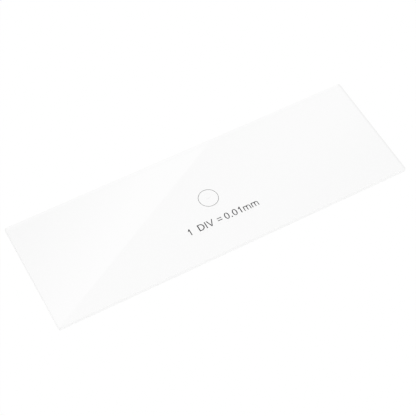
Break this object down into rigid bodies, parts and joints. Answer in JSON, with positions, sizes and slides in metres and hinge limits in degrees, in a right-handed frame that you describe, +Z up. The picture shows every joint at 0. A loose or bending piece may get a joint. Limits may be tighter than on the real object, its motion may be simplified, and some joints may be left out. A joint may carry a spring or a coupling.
{
  "type": "microscope slide",
  "caption": "Flat rectangular clear glass microscope slide with ground edges, a thin dark ring at its centre, a fine ruled scale inside the ring and a one-line scale legend below it.",
  "frame": {"origin": "centre of the underside, which the slide lies on", "axes": "+X along the slide's length and along the legend's reading direction, +Y across its width towards the tops of the lettering, +Z up out of the face that carries the film"},
  "size_m": [0.076, 0.025, 0.001],
  "materials": {
    "clear_glass": "polished top and underside, finely ground edges",
    "dark_metal_film": "thin dark low-reflection film deposited on the glass"
  },
  "bodies": {
    "root": {"glass_slide": "clear_glass", "finder_ring": "dark_metal_film", "ruled_scale": "dark_metal_film", "scale_legend": "dark_metal_film"}
  },
  "joints": []
}
